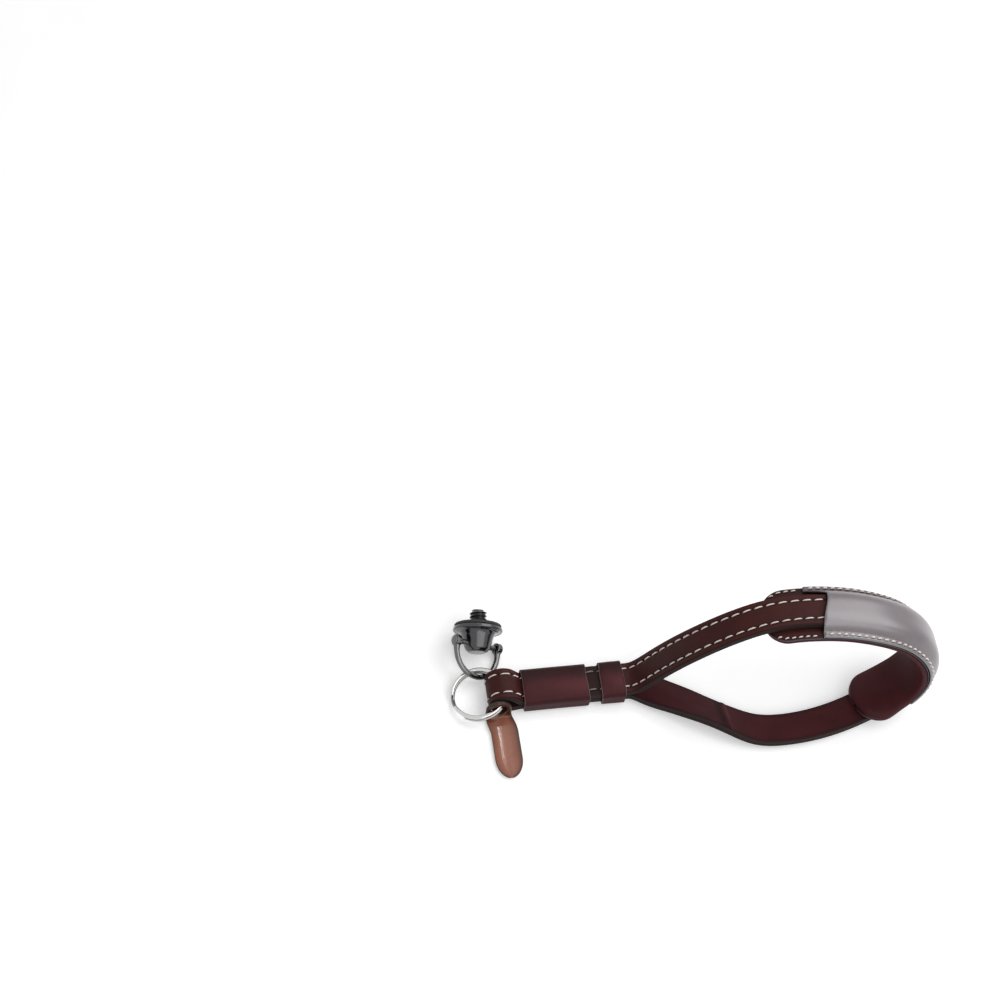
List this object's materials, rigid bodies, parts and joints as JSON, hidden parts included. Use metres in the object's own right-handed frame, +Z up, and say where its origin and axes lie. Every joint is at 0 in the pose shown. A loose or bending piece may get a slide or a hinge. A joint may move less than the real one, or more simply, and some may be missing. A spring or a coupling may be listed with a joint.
{
  "type": "camera wrist strap",
  "caption": "Leather wrist strap with a padded loop, a sliding keeper, a split ring, a tag and a tripod-socket screw on a pivoting bail.",
  "frame": {"origin": "middle of the sleeve's flat underside, on the surface that the strap lies on", "axes": "+X along the sleeve from the split ring towards the padded loop, +Y across the strap to its far side, +Z up"},
  "size_m": [0.172, 0.0632, 0.0518],
  "materials": {
    "strap_leather": "smooth dark brown, waxed, satin",
    "lining_leather": "smooth dark reddish brown, matt",
    "sleeve_leather": "smooth oxblood brown, satin",
    "pad_cover_leather": "dark brown, polished to a sheen",
    "tag_leather": "tan, burnished",
    "cream_thread": "waxed cream thread",
    "dark_thread": "waxed brown thread",
    "pad_foam": "closed-cell foam",
    "polished_steel": "polished nickel plate",
    "dark_plated_steel": "black nickel plate",
    "washer_rubber": "matt black"
  },
  "bodies": {
    "strap": {"strap_outer": "strap_leather", "strap_lining": "lining_leather", "strap_thread_far": "cream_thread", "strap_thread_near": "cream_thread", "pad_base": "strap_leather", "pad_core": "pad_foam", "pad_lining": "lining_leather", "pad_cover": "pad_cover_leather", "pad_thread_far": "cream_thread", "pad_thread_near": "cream_thread", "sleeve": "sleeve_leather", "sleeve_seam_thread": "dark_thread"},
    "keeper": {"keeper": "sleeve_leather", "keeper_seam_thread": "dark_thread"},
    "ring": {"split_ring": "polished_steel"},
    "tag": {"tag": "tag_leather"},
    "bail": {"bail": "polished_steel", "pivot_pin": "polished_steel"},
    "screw": {"tripod_screw": "dark_plated_steel", "seat_washer": "washer_rubber"}
  },
  "joints": [
    {"name": "keeper_slide", "type": "slide", "parent": "strap", "child": "keeper", "axis": [1, 0, 0], "range_m": [-0.0042, 0.0012]},
    {"name": "ring_swing", "type": "hinge", "parent": "strap", "child": "ring", "pos_m": [-0.0191, 0, 0.00595], "axis": [0, 1, 0], "range_deg": [0, 75]},
    {"name": "tag_swing", "type": "hinge", "parent": "ring", "child": "tag", "pos_m": [-0.02117, -0.0071, 0.0055], "axis": [0, 1, 0], "range_deg": [-60, 10]},
    {"name": "bail_swing", "type": "hinge", "parent": "ring", "child": "bail", "pos_m": [-0.02734, 0.0095, 0.00416], "axis": [1, 0, 0], "range_deg": [0, 12]},
    {"name": "screw_pivot", "type": "hinge", "parent": "bail", "child": "screw", "pos_m": [-0.02556, 0.01828, 0.00759], "axis": [0.8284, 0.0259, -0.5596], "range_deg": [-50, 50]}
  ]
}
